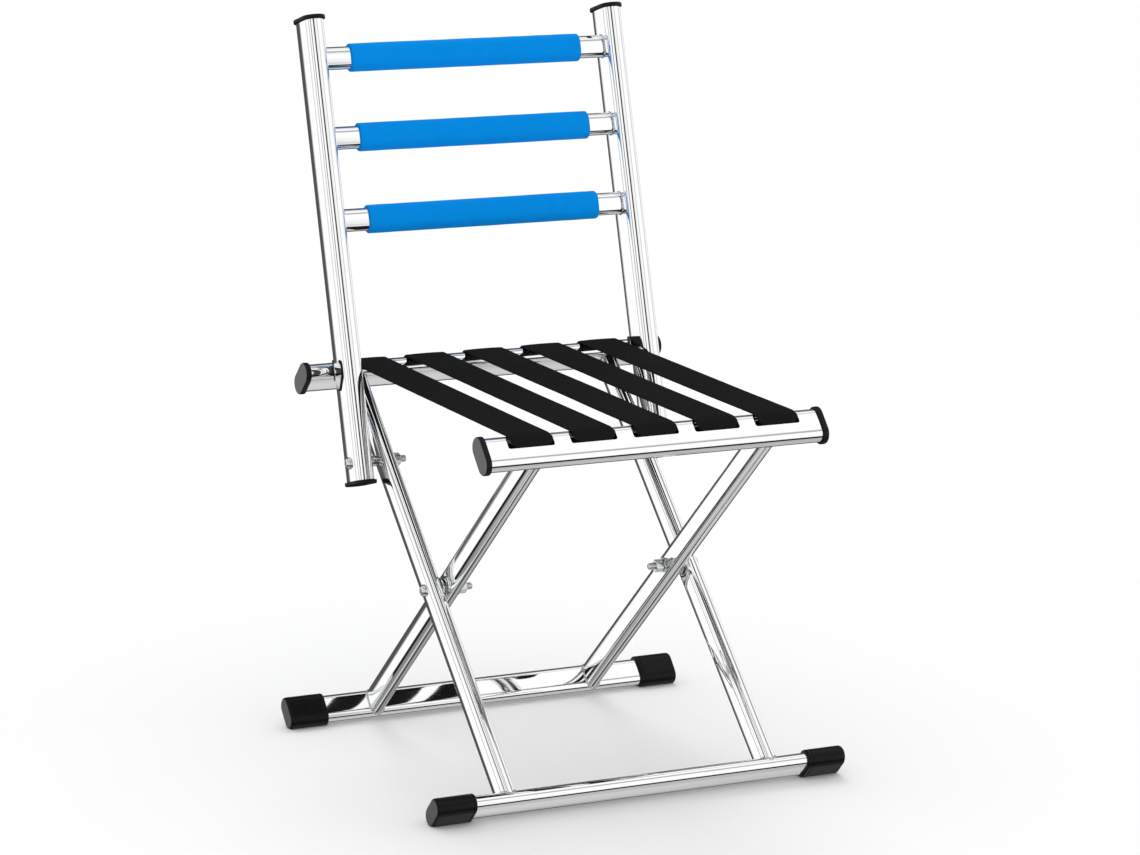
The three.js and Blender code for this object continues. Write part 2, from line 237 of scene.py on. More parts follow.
def webbing_material():
    """Black polypropylene webbing: ribs across and a fine twill, from the strap's own UV in metres."""
    m = material("webbing", (0.010, 0.010, 0.0105), 0.8, Specular_IOR_Level=0.03)
    uv = node(m, "ShaderNodeUVMap")
    waves = []
    for turn, pitch in ((0.0, 1.5 * MM), (radians(90), 1.1 * MM), (radians(38), 2.2 * MM)):
        mapping = node(m, "ShaderNodeMapping")
        mapping.inputs["Rotation"].default_value = (0, 0, turn)
        wave = node(m, "ShaderNodeTexWave", Scale=pi / 10 / pitch)
        link(m, uv.outputs["UV"], mapping.inputs["Vector"])
        link(m, mapping.outputs["Vector"], wave.inputs["Vector"])
        waves.append(wave.outputs["Fac"])
    mixed = node(m, "ShaderNodeMath", operation="MULTIPLY")
    link(m, waves[0], mixed.inputs[0])
    link(m, waves[1], mixed.inputs[1])
    total = node(m, "ShaderNodeMath", operation="ADD")
    link(m, mixed.outputs[0], total.inputs[0])
    link(m, waves[2], total.inputs[1])
    tint(m, total.outputs[0], (0.0085, 0.0085, 0.009), (0.0115, 0.0115, 0.012))
    bump(m, total.outputs[0], 0.35, 0.2 * MM)
    return m


CHROME = chrome_material()
WELD = weld_material()
ZINC = zinc_material()
PLUG_RIM = plastic_material("plug_rim", (0.003, 0.003, 0.003), (0.006, 0.006, 0.006), 0.4, 0.2)
# Painted light: the plugs' black plastic again in a lighter grey, for the light their end faces catch.
PLUG_FACE_PAINTED_LIGHT = plastic_material("plug_face_painted_light", (0.120, 0.120, 0.120), (0.139, 0.139, 0.139), 0.6, 0.2)
RUBBER = plastic_material("rubber", (0.003, 0.003, 0.003), (0.005, 0.005, 0.005), 0.3, 0.16)
# Painted light: the sleeves' black rubber again in a lighter grey, for the light their outer end faces catch.
SLEEVE_FACE_PAINTED_LIGHT = plastic_material("sleeve_face_painted_light", (0.085, 0.085, 0.085), (0.104, 0.104, 0.104), 0.6, 0.2)
FOAM = foam_material()
WEBBING = webbing_material()


# ---- mesh helpers ----------------------------------------------------------------------------
ARC = 20
FLAT = 6


def oval(size, grow=0.0, crown=0.0):
    """Flat-oval outline as (along the long side, through the thin side) pairs."""
    radius = size[1] / 2 + grow
    half = (size[0] - size[1]) / 2
    points = []
    for end in (1, -1):
        for i in range(ARC + 1):
            a = (i / ARC - 0.5) * pi
            points.append((end * (half + radius * cos(a)), end * radius * sin(a)))
        for i in range(1, FLAT):
            s = 1 - 2 * i / FLAT
            points.append((end * s * half, end * (radius + crown * (1 - s * s))))
    return points


def rounded_rectangle(half_a, half_b, radius, steps=6):
    points = []
    for quarter, (a, b) in enumerate(((1, 1), (-1, 1), (-1, -1), (1, -1))):
        for i in range(steps + 1):
            turn = (quarter + i / steps) * pi / 2
            points.append((
                a * (half_a - radius) + radius * cos(turn), b * (half_b - radius) + radius * sin(turn),
            ))
    return points


def circle(radius, count=32):
    return [(radius * cos(2 * pi * i / count), radius * sin(2 * pi * i / count)) for i in range(count)]


def hexagon(flats, limit, count=48):
    """Hexagon outline cut by a circle of the limiting radius, for chamfered corners."""
    points = []
    for i in range(count):
        a = 2 * pi * i / count
        off = (a + pi / 6) % (pi / 3) - pi / 6
        r = min(flats / 2 / cos(off), limit)
        points.append((r * cos(a), r * sin(a)))
    return points


def loft(rings, wrap=False, caps=True):
    """(vertices, faces) through equal rings of points. wrap joins the last ring to the first."""
    count = len(rings[0])
    vertices = [p for ring in rings for p in ring]
    faces = []
    for i in range(len(rings) if wrap else len(rings) - 1):
        low, high = i * count, (i + 1) % len(rings) * count
        for j in range(count):
            k = (j + 1) % count
            faces.append((low + j, low + k, high + k, high + j))
    if caps and not wrap:
        last = (len(rings) - 1) * count
        faces.append(tuple(reversed(range(count))))
        faces.append(tuple(range(last, last + count)))
    return vertices, faces


def outward(mesh):
    """Turn the faces of a closed mesh outward."""
    volume = 0.0
    for face in mesh.polygons:
        points = [mesh.vertices[v].co for v in face.vertices]
        for a, b in zip(points[1:], points[2:]):
            volume += points[0].dot(a.cross(b))
    if volume < 0:
        mesh.flip_normals()


def piece(name, shape, body, look, replaces=(), sharp=SHARP_ANGLE):
    """A finished piece that rides on a body and stands for CAD nodes."""
    mesh = bpy.data.meshes.new(name)
    mesh.from_pydata([tuple(v) for v in shape[0]], [], shape[1])
    mesh.update()
    outward(mesh)
    mesh.polygons.foreach_set("use_smooth", [True] * len(mesh.polygons))
    mesh.set_sharp_from_angle(angle=radians(sharp))
    mesh.materials.append(look)
    obj = bpy.data.objects.new(name, mesh)
    bpy.context.collection.objects.link(obj)
    if body:
        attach(obj, body)
    if replaces:
        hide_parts(*replaces)
    return obj


def stations(start, end, count):
    return [start + (end - start) * i / count for i in range(count + 1)]


def profile_rings(outline, profile, at, axis, lead):
    """One ring per (grow, height) pair: the outline grown, standing at that height along axis."""
    third = axis.cross(lead)
    rings = []
    for grow, height in profile:
        rings.append([at + axis * height + lead * a + third * b for a, b in outline(grow)])
    return rings


# ---- tubes -----------------------------------------------------------------------------------
def straight_tube(name, size, start, end, lead, body, node_name, crown=RAIL_CROWN):
    """Hollow tube: outside, then back along the bore, with rounded rims."""
    axis = (end - start).normalized()
    length = (end - start).length
    rim = 0.35 * MM
    outer_run = [(-rim, 0.0), (0.0, rim)] + [(0.0, h) for h in stations(0, length, 24)[1:-1]]
    outer_run += [(0.0, length - rim), (-rim, length)]
    profile = outer_run + [(-WALL, length), (-WALL, 0.0)]
    rings = profile_rings(lambda g: oval(size, g, crown if g > -WALL else 0), profile, start, axis, lead)
    return piece(name, loft(rings, wrap=True), body, CHROME, [node_name])


def rail_surface(size, offset):
    """Height of a rail's surface above its middle plane, at an offset along its long side."""
    radius = size[1] / 2
    past = max(abs(offset) - (size[0] - size[1]) / 2, 0)
    return sqrt(max(radius**2 - past**2, 0))


DIMPLE_DEPTH = 2.08 * MM
DIMPLE_REACH = (19 * MM, 9 * MM)


def leg_point(base, line, side, a, b, height, dimple_at):
    """A point of a leg's skin; side is the sign of the face that is pressed in at the pivot."""
    away = ((height - dimple_at) / DIMPLE_REACH[0]) ** 2 + (a / DIMPLE_REACH[1]) ** 2
    if side * b > 0 and away < 1:
        b -= side * DIMPLE_DEPTH * (1 - away) ** 2
    return base + line[0] * height + line[1] * a + X * b


def leg(name, x, line, body, pressed):
    """A leg, coped over its foot rail and its seat rail, pressed in round the pivot bolt."""
    base = Vector((x, crossing.y, crossing.z)) - line[0] * FOOT_ARM
    length = FOOT_ARM + SEAT_ARM
    outline = oval(LEG, 0, LEG_CROWN)

    def ring(height_at):
        return [leg_point(base, line, pressed, a, b, height_at(a), FOOT_ARM) for a, b in outline]

    rings = [ring(lambda a: rail_surface(FOOT_RAIL, a))]
    for height in stations(14 * MM, length - 16 * MM, 110):
        rings.append(ring(lambda a, h=height: h))
    rings.append(ring(lambda a: length - rail_surface(SEAT_RAIL, a)))
    return piece(f"{name}_tube", loft(rings), body, CHROME, [name])


def bead(name, path, radius, body):
    """A closed weld bead along a loop of points, with the ripple of its runs."""
    count = len(path)
    rings = []
    centre = sum(path, Vector()) / count
    for i, p in enumerate(path):
        run = (path[(i + 1) % count] - path[i - 1]).normalized()
        out = (p - centre).normalized()
        side = run.cross(out).normalized()
        out = side.cross(run)
        r = radius * (1 + 0.16 * sin(i * 2 * pi * 22 / count) + 0.12 * noise.noise(p * 400))
        rings.append([p + out * r * cos(a) + side * r * sin(a) for a in (2 * pi * j / 10 for j in range(10))])
    return piece(name, loft(rings, wrap=True), body, WELD, sharp=80)


def resample(points, count):
    """Evenly spaced points along a closed loop."""
    lengths = [(points[(i + 1) % len(points)] - p).length for i, p in enumerate(points)]
    total = sum(lengths)
    out = []
    i, passed = 0, 0.0
    for n in range(count):
        target = total * n / count
        while passed + lengths[i] < target:
            passed += lengths[i]
            i += 1
        t = (target - passed) / lengths[i]
        out.append(points[i].lerp(points[(i + 1) % len(points)], t))
    return out


def leg_weld(name, x, line, rail, size, toward, body):
    """Bead where a leg meets a rail; toward is the direction from the rail to the leg."""
    centre = Vector((x, rail.y, rail.z))
    loop = []
    for a, b in oval(LEG, 0.25 * MM):
        lift = rail_surface(size, min(abs(a), size[0] / 2 - 0.3 * MM)) + 0.25 * MM
        loop.append(centre + toward * lift + line[1] * a + X * b)
    bead(name, resample(loop, 150), LEG_WELD_RADIUS, body)


def make_frames():
    rails = (
        ("rear_seat", SEAT_RAIL, rear_seat, OUTER, RAIL_FLANGE, "outer_frame"),
        ("front_seat", SEAT_RAIL, front_seat, INNER, RAIL_FLANGE, "inner_frame"),
        ("front_foot", FOOT_RAIL, front_foot, OUTER, FOOT_RAIL_INSET, "outer_frame"),
        ("rear_foot", FOOT_RAIL, rear_foot, INNER, FOOT_RAIL_INSET, "inner_frame"),
    )
    for place, size, at, line, inset, body in rails:
        name, half = f"{place}_rail", HALF[place] - inset
        tube = straight_tube(f"{name}_tube", size, at - X * half, at + X * half, line[1], body, name)
        if size == SEAT_RAIL:
            cut_windows(tube, at, line)
    for side, sign in SIDES:
        leg(f"outer_leg_{side}", sign * OUTER_LEG_X, OUTER, "outer_frame", -sign)
        leg(f"inner_leg_{side}", sign * INNER_LEG_X, INNER, "inner_frame", sign)
        for tag, x, line, seat, foot, body in (
            ("outer", sign * OUTER_LEG_X, OUTER, rear_seat, front_foot, "outer_frame"),
            ("inner", sign * INNER_LEG_X, INNER, front_seat, rear_foot, "inner_frame"),
        ):
            leg_weld(f"weld_{tag}_seat_{side}", x, line, seat, SEAT_RAIL, -line[0], body)
            leg_weld(f"weld_{tag}_foot_{side}", x, line, foot, FOOT_RAIL, line[0], body)


def cut_windows(tube, at, line):
    """One window per strap through the wall that faces away from the legs."""
    side = 1 if line is INNER else -1
    middle = at + line[1] * side * (WINDOW_FROM + WINDOW_TO) / 2
    outline = rounded_rectangle(WINDOW_WIDTH / 2, (WINDOW_TO - WINDOW_FROM) / 2, WINDOW_CORNER)
    vertices, faces = [], []
    for i in range(STRAP_COUNT):
        centre = middle + X * (i - (STRAP_COUNT - 1) / 2) * STRAP_PITCH
        rings = [
            [centre + X * a + line[1] * b + line[0] * height for a, b in outline]
            for height in (WINDOW_FLOOR, WINDOW_FLOOR + SEAT_RAIL[1])
        ]
        new_vertices, new_faces = loft(rings)
        faces += [tuple(v + len(vertices) for v in face) for face in new_faces]
        vertices += new_vertices
    mesh = bpy.data.meshes.new("window_cutter")
    mesh.from_pydata([tuple(v) for v in vertices], [], faces)
    outward(mesh)
    cutter = bpy.data.objects.new("window_cutter", mesh)
    bpy.context.collection.objects.link(cutter)
    difference = tube.modifiers.new("windows", "BOOLEAN")
    difference.operation = "DIFFERENCE"
    difference.solver = "EXACT"
    difference.object = cutter
    bpy.context.view_layer.update()
    bpy.context.view_layer.objects.active = tube
    bpy.ops.object.modifier_apply(modifier="windows")
    tube.data.set_sharp_from_angle(angle=radians(SHARP_ANGLE))
    bpy.data.objects.remove(cutter)


# ---- end pieces ------------------------------------------------------------------------------
def rail_plug(name, at, line, sign, body, node_name):
    """Moulded plug: dark rim with rounded edges, a low raised border and a domed face. The face is painted a
    lighter grey to stand for the light that the black plastic catches there.
    """
    t, lip = RAIL_FLANGE, RAIL_LIP
    profile = [
        (-1.5 * MM, -11 * MM), (-1.3 * MM, -10 * MM), (-1.3 * MM, 0.0), (lip - 0.5 * MM, 0.02 * MM),
        (lip - 0.15 * MM, 0.2 * MM), (lip, 0.6 * MM), (lip, t - 1.3 * MM), (lip - 0.2 * MM, t - 0.7 * MM),
        (lip - 0.6 * MM, t - 0.3 * MM), (lip - 1.1 * MM, t - 0.15 * MM),
        (lip - 2.6 * MM, t - 0.06 * MM), (lip - 5 * MM, t), (lip - 7.5 * MM, t), (lip - 9.1 * MM, t),
    ]
    rings = profile_rings(lambda g: oval(SEAT_RAIL, g), profile, at, X * sign, line[1])
    plug = piece(name, loft(rings), body, PLUG_RIM, [node_name], sharp=50)
    # The outer face gets the lighter grey. This is painted light on the same black plastic, not a different
    # colour.
    plug.data.materials.append(PLUG_FACE_PAINTED_LIGHT)
    edge = (t - 0.35 * MM) + sign * at.x
    for face in plug.data.polygons:
        if sign * face.center.x > edge:
            face.material_index = 1
    return plug


def foot_sleeve(name, at, line, sign, half, body, node_name):
    """Rubber sleeve with a closed outer end, grip rings and a worn flat sole. The outer end face is painted a
    lighter grey to stand for the light it catches.
    """
    n, w = SLEEVE_LENGTH, SLEEVE_WALL
    profile = [(0.1 * MM, 3.1 * MM), (0.1 * MM, n), (w - 0.9 * MM, n), (w - 0.3 * MM, n - 0.25 * MM)]
    profile += [(w, n - 0.9 * MM), (w, n - 3 * MM), (w - 0.25 * MM, n - 3.4 * MM), (w, n - 3.8 * MM)]
    profile += [(w, h) for h in stations(n - 5 * MM, 3 * MM, 14)]
    profile += [(w - 0.15 * MM, 1.6 * MM), (w - 0.6 * MM, 0.7 * MM), (w - 1.4 * MM, 0.15 * MM)]
    profile += [(w - 3 * MM, 0.0), (w - 6 * MM, 0.0), (w - 8.3 * MM, 0.0)]
    end = Vector((sign * half, at.y, at.z))
    rings = profile_rings(lambda g: oval(FOOT_RAIL, g), profile, end, X * -sign, line[1])
    for ring in rings:
        for p in ring:
            p.z = max(p.z, 0.0)
    sleeve = piece(name, loft(rings), body, RUBBER, [node_name], sharp=45)
    # The closed outer end gets the lighter grey. This is painted light on the same black rubber, not a
    # different colour.
    sleeve.data.materials.append(SLEEVE_FACE_PAINTED_LIGHT)
    for face in sleeve.data.polygons:
        if sign * face.center.x > half - 0.3 * MM:
            face.material_index = 1
    return sleeve


def upright_plug(name, at, axis, body, node_name):
    t, lip = UPRIGHT_FLANGE, UPRIGHT_LIP
    profile = [
        (-1.5 * MM, -7 * MM), (-1.3 * MM, -6.5 * MM), (-1.3 * MM, 0.0), (lip - 0.4 * MM, 0.02 * MM),
        (lip - 0.1 * MM, 0.2 * MM), (lip, 0.5 * MM), (lip, t - 1.2 * MM), (lip - 0.25 * MM, t - 0.6 * MM),
        (lip - 0.9 * MM, t - 0.25 * MM), (lip - 2.5 * MM, t - 0.1 * MM), (lip - 6 * MM, t),
        (lip - 10.1 * MM, t),
    ]
    rings = profile_rings(lambda g: oval(UPRIGHT, g), profile, at, axis, BACK[1])
    return piece(name, loft(rings), body, PLUG_RIM, [node_name], sharp=50)


def make_ends():
    for side, sign in SIDES:
        for tag, at, line, body in (
            ("rear", rear_seat, OUTER, "outer_frame"), ("front", front_seat, INNER, "inner_frame"),
        ):
            base = at + X * sign * (HALF[f"{tag}_seat"] - RAIL_FLANGE)
            rail_plug(f"{tag}_rail_end_{side}", base, line, sign, body, f"{tag}_rail_plug_{side}")
        for tag, at, line, body in (
            ("front", front_foot, OUTER, "outer_frame"), ("rear", rear_foot, INNER, "inner_frame"),
        ):
            half = HALF[f"{tag}_foot"]
            foot_sleeve(f"{tag}_foot_rubber_{side}", at, line, sign, half, body, f"{tag}_foot_sleeve_{side}")


# ---- bolts, nuts, washers and spacers --------------------------------------------------------
def bolt(name, at, sign, outside, inside, node_name):
    """Button-head bolt with a hex socket, and a helical thread past the nut."""
    r = BOLT_RADIUS
    start = Vector((sign * outside, at.y, at.z))
    axis, lead = X * sign, BACK[1]
    third = axis.cross(lead)
    count = 48
    rings = []

    def ring(height, radius_at):
        points = []
        for i in range(count):
            a = 2 * pi * i / count
            radius = radius_at(a)
            points.append(start + axis * height + lead * radius * cos(a) + third * radius * sin(a))
        rings.append(points)

    def socket(a):
        return 2.0 * MM / cos((a + pi / 6) % (pi / 3) - pi / 6)

    thread_end = -(outside - inside) - NUT_WASHER[1] - NUT_THICK - 3 * GAP
    tail = thread_end - BOLT_TAIL
    pitch, depth = 1.0 * MM, 0.42 * MM
    ring(tail, lambda a: r - 0.9 * MM)
    for height in stations(tail + 0.2 * MM, thread_end, 44):
        fade = min((height - tail) / (1.2 * MM), 1.0)
        ring(height, lambda a, h=height, f=fade: (r - 0.5 * MM * (1 - f)) - depth * (
            0.5 + 0.5 * cos(2 * pi * (h / pitch + a / (2 * pi)))))
    ring(thread_end + 0.4 * MM, lambda a: r - 0.1 * MM)
    ring(0.05 * MM, lambda a: r - 0.1 * MM)
    for radius, height in (
        (5.2, 0.1), (5.4, 0.3), (5.4, 0.8), (5.2, 1.5), (4.6, 2.4), (3.8, 3.1), (3.1, 3.55), (2.75, 3.7),
    ):
        ring(height * MM, lambda a, q=radius: q * MM)
    ring(3.68 * MM, lambda a: socket(a) + 0.12 * MM)
    ring(3.4 * MM, socket)
    ring(1.9 * MM, socket)
    return piece(name, loft(rings), "outer_frame", ZINC, [node_name], sharp=40)


def nut(name, at, sign, inner_face, node_name):
    """Chamfered hexagon nut, seen with its bolt through it."""
    outline = {0: circle(4.7 * MM, 48), 1: hexagon(NUT_FLATS, 5.55 * MM), 2: circle(3.3 * MM, 48)}
    thick = NUT_THICK
    steps = ((2, 0.5 * MM), (2, 0.05 * MM), (0, 0.0), (1, 0.55 * MM), (1, thick - 0.55 * MM))
    steps += ((0, thick), (2, thick - 0.05 * MM), (2, thick - 0.5 * MM))
    start = Vector((sign * (inner_face - thick), at.y, at.z))
    third = (X * sign).cross(BACK[1])
    rings = []
    for which, height in steps:
        rings.append([start + X * sign * height + BACK[1] * a + third * b for a, b in outline[which]])
    return piece(name, loft(rings, wrap=True), "outer_frame", ZINC, [node_name], sharp=25)


def washer(name, at, sign, inner, outer_x, radius, node_name):
    """Flat ring with softly broken edges, between two stations along X."""
    t = outer_x - inner
    e = 0.25 * MM
    hole = 3.2 * MM
    steps = ((hole, 0.0), (radius - e, 0.0), (radius, e), (radius, t - e), (radius - e, t), (hole, t))
    start = Vector((sign * inner, at.y, at.z))
    third = (X * sign).cross(BACK[1])
    rings = []
    for r, height in steps:
        rings.append([start + X * sign * height + BACK[1] * a + third * b for a, b in circle(r, 48)])
    return piece(name, loft(rings, wrap=True), "outer_frame", ZINC, [node_name], sharp=40)


def make_hardware():
    for side, sign in SIDES:
        inner_in = INNER_LEG_X - LEG[1] / 2
        inner_out = INNER_LEG_X + LEG[1] / 2
        outer_in = OUTER_LEG_X - LEG[1] / 2
        outer_out = OUTER_LEG_X + LEG[1] / 2
        up_in = UPRIGHT_X - UPRIGHT[1] / 2
        up_out = UPRIGHT_X + UPRIGHT[1] / 2
        bolt(f"leg_bolt_{side}", crossing, sign, outer_out, inner_in, f"pivot_bolt_{side}")
        bolt(f"back_bolt_{side}", back_pivot, sign, up_out, outer_in, f"backrest_bolt_{side}")
        for tag, at, face in (("pivot", crossing, inner_in), ("backrest", back_pivot, outer_in)):
            radius, thick = NUT_WASHER
            rim = face - STACK_GAP
            name = f"{tag}_small_washer_{side}"
            washer(name, at, sign, rim - thick, rim, radius, f"{tag}_nut_washer_{side}")
            nut(f"{tag}_lock_nut_{side}", at, sign, rim - thick - STACK_GAP, f"{tag}_nut_{side}")
        for name, at, low, high, radius, stands_for in (
            ("leg_washer", crossing, inner_out, outer_in, PIVOT_WASHER_RADIUS, "pivot_washer"),
            ("back_spacer", back_pivot, outer_out, up_in, SPACER_RADIUS, "backrest_spacer"),
        ):
            ends = (low + STACK_GAP, high - STACK_GAP)
            washer(f"{name}_{side}", at, sign, *ends, radius, f"{stands_for}_{side}")


# ---- backrest --------------------------------------------------------------------------------
def foam_sleeve(name, at, node_name):
    """Foam tube over a bar: soft rounded ends that hug the bar, and a slightly uneven skin."""
    half, w = FOAM_LENGTH / 2, FOAM_WALL
    profile = [(0.12 * MM, -half), (0.35 * MM, -half)]
    for i in range(1, 7):
        a = pi / 2 * i / 6
        profile.append((w - FOAM_ROUND + FOAM_ROUND * sin(a), -half + FOAM_ROUND * (1 - cos(a))))
    profile += [(w, x) for x in stations(-half + 3 * MM, half - 3 * MM, 60)]
    for i in range(6, 0, -1):
        a = pi / 2 * i / 6
        profile.append((w - FOAM_ROUND + FOAM_ROUND * sin(a), half - FOAM_ROUND * (1 - cos(a))))
    profile += [(0.35 * MM, half), (0.12 * MM, half), (0.12 * MM, half - 6 * MM), (0.12 * MM, -half + 6 * MM)]
    rings = profile_rings(lambda g: oval(BAR, g, 0.25 * MM), profile, at, X, BACK[0])
    for ring, (grow, _) in zip(rings, profile):
        if grow > 1 * MM:
            centre = sum(ring, Vector()) / len(ring)
            for i, p in enumerate(ring):
                out = (p - centre).normalized()
                ring[i] = p + out * 0.16 * MM * (noise.noise(p * 60) - 0.4)
    sleeve = piece(name, loft(rings, wrap=True), "backrest", FOAM, [node_name], sharp=70)


def make_backrest():
    low = UPRIGHT_BELOW - UPRIGHT_FLANGE
    high = UPRIGHT_ABOVE - UPRIGHT_FLANGE
    for side, sign in SIDES:
        pivot = back_pivot + X * sign * UPRIGHT_X
        start, end = pivot - BACK[0] * low, pivot + BACK[0] * high
        name = f"backrest_upright_{side}"
        straight_tube(f"{name}_tube", UPRIGHT, start, end, BACK[1], "backrest", name, UPRIGHT_CROWN)
        upright_plug(f"upright_cap_top_{side}", end, BACK[0], "backrest", f"upright_top_plug_{side}")
        upright_plug(f"upright_cap_foot_{side}", start, -BACK[0], "backrest", f"upright_bottom_plug_{side}")
    inside = UPRIGHT_X - UPRIGHT[1] / 2
    for i, height in enumerate(BAR_HEIGHTS, 1):
        at = back_pivot + BACK[0] * height
        start, end = at - X * inside, at + X * inside
        name = f"backrest_bar_{i}"
        straight_tube(f"{name}_tube", BAR, start, end, BACK[0], "backrest", name)
        foam_sleeve(f"backrest_foam_{i}", at, f"backrest_sleeve_{i}")
        for side, sign in SIDES:
            foot = at + X * sign * (inside - 0.2 * MM)
            loop = [foot + BACK[0] * a + BACK[1] * b for a, b in oval(BAR, 0.2 * MM)]
            bead(f"weld_bar_{i}_{side}", resample(loop, 120), BAR_WELD_RADIUS, "backrest")


# ---- seat straps -----------------------------------------------------------------------------
def strap_end():
    """Middle line of the webbing from the rear rail's crest to its tucked end, as (y, z)."""
    half_flat = (SEAT_RAIL[0] - SEAT_RAIL[1]) / 2
    crest = rear_seat - OUTER[1] * half_flat
    radius = SEAT_RAIL[1] / 2 + STRAP_GAP + STRAP_THICK / 2
    points = []
    for i in range(15):
        a = radians(LEG_TILT) * i / 14
        points.append(Vector((0, crest.y + radius * sin(a), crest.z + radius * cos(a))))
    flat, inward = OUTER[1], -OUTER[0]
    run = half_flat - STRAP_SLOT - STRAP_CORNER
    centre = points[-1] + flat * run + inward * STRAP_CORNER
    for i in range(9):
        a = pi / 2 * i / 8
        points.append(centre + flat * STRAP_CORNER * sin(a) - inward * STRAP_CORNER * cos(a))
    points.append(points[-1] + inward * STRAP_TUCK)
    return points


def strap_line():
    """The whole middle line, front to rear, with points about every 2 mm between the rails."""
    rear = strap_end()
    front = [Vector((0, 2 * crossing.y - p.y, p.z)) for p in reversed(rear)]
    span = stations(front[-1], rear[0], 150)
    return front + span[1:-1] + rear


def strap_section():
    """Webbing across its width: (across, through) pairs with thick edges and a rounded selvedge."""
    half_w, half_t = STRAP_WIDTH / 2, STRAP_THICK / 2
    points = []
    count = 38
    for face in (1, -1):
        for i in range(count + 1):
            s = 1 - 2 * i / count
            edge = max(abs(s) - 0.93, 0) / 0.07
            rib = 0.05 * MM * (1 if i % 2 else -1) if edge == 0 else 0
            t = (half_t - 0.12 * MM) * sqrt(max(1 - edge**2 * 0.92, 0)) + rib
            points.append((face * s * half_w, face * t))
    return points


def strap(index, line):
    x = (index - (STRAP_COUNT - 1) / 2) * STRAP_PITCH
    section = strap_section()
    total = sum((b - a).length for a, b in zip(line, line[1:]))
    rings, travelled, lengths = [], 0.0, []
    for i, p in enumerate(line):
        run = (line[min(i + 1, len(line) - 1)] - line[max(i - 1, 0)]).normalized()
        normal = Vector((0, -run.z, run.y))
        if i:
            travelled += (p - line[i - 1]).length
        lengths.append(travelled)
        # The seat has settled a little: each strap dips by a fraction of a millimetre, and near
        # the rails it is drawn in and pushed a little to one side.
        middle = 1 - abs(2 * i / (len(line) - 1) - 1)
        unevenness = 0.5 + 0.5 * noise.noise(Vector((index * 3.1, p.y * 9, 0)))
        dip = 0.5 * MM * min(middle * 1.6, 1) * unevenness
        ridge = 0.04 * MM * (1 if i % 2 else -1)
        ring = []
        # The corners of the square-cut ends round off where the webbing enters its window.
        past = STRAP_ROUND + STRAP_TUCK + STRAP_CORNER - min(travelled, total - travelled)
        past = min(max(past, 0), STRAP_ROUND)
        taper = 1 - (STRAP_ROUND - sqrt(STRAP_ROUND**2 - past**2)) / (STRAP_WIDTH / 2)
        seated = max(1 - middle * 4, 0)
        for a, b in section:
            a = a * taper * (1 - 0.03 * seated) + 0.9 * MM * seated
            cupped = -0.35 * MM * (a / STRAP_WIDTH * 2) ** 2 * min(middle * 6, 1)
            wander = 0.25 * MM * noise.noise(Vector((index * 7.7, p.y * 14, 3)))
            q = p + normal * (b + (ridge if b > 0 else -ridge)) + X * (x + a + wander)
            q.z += cupped - dip
            ring.append(q)
        rings.append(ring)
    name = f"webbing_strap_{index + 1}"
    stands_for = [f"seat_strap_{index + 1}"]
    obj = piece(name, loft(rings), None, WEBBING, stands_for, sharp=75)
    uv = obj.data.uv_layers.new(name="UVMap")
    count = len(section)
    for loop in obj.data.loops:
        ring_index, point = divmod(loop.vertex_index, count)
        uv.data[loop.index].uv = (section[point][0], lengths[ring_index])
    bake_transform(obj)


def make_straps():
    line = strap_line()
    for index in range(STRAP_COUNT):
        strap(index, line)


# ---- rubber stops: the CAD blocks with softened edges ----------------------------------------
def dress_stops():
    for side, _ in SIDES:
        stop = frame["nodes"][f"backrest_stop_{side}"]
        stop.data.materials.clear()
        stop.data.materials.append(RUBBER)
        edges = stop.modifiers.new("edges", "BEVEL")
        edges.width = 0.8 * MM
        edges.segments = 3
        edges.limit_method = "ANGLE"


# ---- studio ----------------------------------------------------------------------------------
CAMERA_AZIMUTH = -26.5
CAMERA_ELEVATION = 12.48
CAMERA_ROLL = 1.0
CAMERA_DISTANCE = 3.5376
CAMERA_LENS = 130.8
FLOOR_HALF = 30
TARGET = Vector((0.0063, crossing.y, 0.2861))


def make_camera():
    a, e, roll = radians(CAMERA_AZIMUTH), radians(CAMERA_ELEVATION), radians(CAMERA_ROLL)
    away = Vector((sin(a) * cos(e), -cos(a) * cos(e), sin(e)))
    right = Vector((cos(a), sin(a), 0))
    up = away.cross(right)
    tilted = right * cos(roll) + up * sin(roll)
    data = bpy.data.cameras.new("camera")
    data.lens = CAMERA_LENS
    data.clip_end = 60
    camera = bpy.data.objects.new("camera", data)
    bpy.context.collection.objects.link(camera)
    place = TARGET + away * CAMERA_DISTANCE
    matrix = camera.matrix_world.copy()
    for i, axis in enumerate((tilted, away.cross(tilted), away, place)):
        for row in range(3):
            matrix[row][i] = axis[row]
    camera.matrix_world = matrix
    bpy.context.scene.camera = camera


def make_floor():
    mesh = bpy.data.meshes.new("floor")
    s = FLOOR_HALF
    mesh.from_pydata([(-s, -s, 0), (s, -s, 0), (s, s, 0), (-s, s, 0)], [], [(0, 1, 2, 3)])
    floor = bpy.data.objects.new("floor", mesh)
    mesh.materials.append(material("floor_paper", (0.95, 0.95, 0.95), 0.9))
    bpy.context.collection.objects.link(floor)
    floor.visible_glossy = False


STUDIO_FILL = 0.92                  # what diffuse surfaces receive from all round
STUDIO_STRENGTH = 1.05
SUN_ENERGY = 0.55
SUN_SIZE = 28                       # degrees across, for soft shadows
SUN_FROM = Vector((0.25, 0.8, 1.0))

